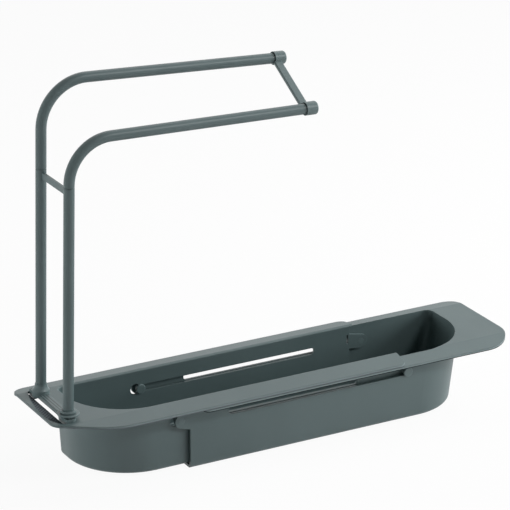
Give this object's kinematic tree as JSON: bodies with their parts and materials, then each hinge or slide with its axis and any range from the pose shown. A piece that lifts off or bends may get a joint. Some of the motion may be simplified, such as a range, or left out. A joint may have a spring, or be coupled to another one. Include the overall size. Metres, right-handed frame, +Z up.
{
  "type": "sink caddy",
  "caption": "Expandable sink caddy: two nested trough trays slide on headed pegs in side slots, with a bent-tube cloth rack hooked into one end flange.",
  "frame": {"origin": "middle of the closed caddy's plan, on the surface that the outer tray stands on", "axes": "+X along the trays from the rack's end to the plain end, +Y to the back, where the plan's corners are tight, +Z up"},
  "size_m": [0.379, 0.096, 0.2903],
  "materials": {
    "tray_plastic": "satin moulded",
    "peg_plastic": "satin moulded",
    "rack_plastic": "satin moulded",
    "tube_coating": "satin powder coat"
  },
  "bodies": {
    "inner": {"inner_tray": "tray_plastic", "inner_tray_peg_front": "peg_plastic", "inner_tray_peg_back": "peg_plastic"},
    "outer": {"outer_tray": "tray_plastic", "outer_tray_peg_front": "peg_plastic", "outer_tray_peg_back": "peg_plastic"},
    "rack": {"rack_base": "rack_plastic", "foot_collar_front": "rack_plastic", "foot_collar_back": "rack_plastic", "upright_front": "tube_coating", "upright_back": "tube_coating", "tie_bar": "tube_coating", "rail_front": "tube_coating", "rail_back": "tube_coating", "end_bar": "rack_plastic"}
  },
  "joints": [
    {"name": "tray_slide", "type": "slide", "parent": "inner", "child": "outer", "axis": [1, 0, 0], "range_m": [-0.0008, 0.145]},
    {"name": "rack_release", "type": "slide", "parent": "inner", "child": "rack", "axis": [-1, 0, 0], "range_m": [0, 0.00105]}
  ]
}
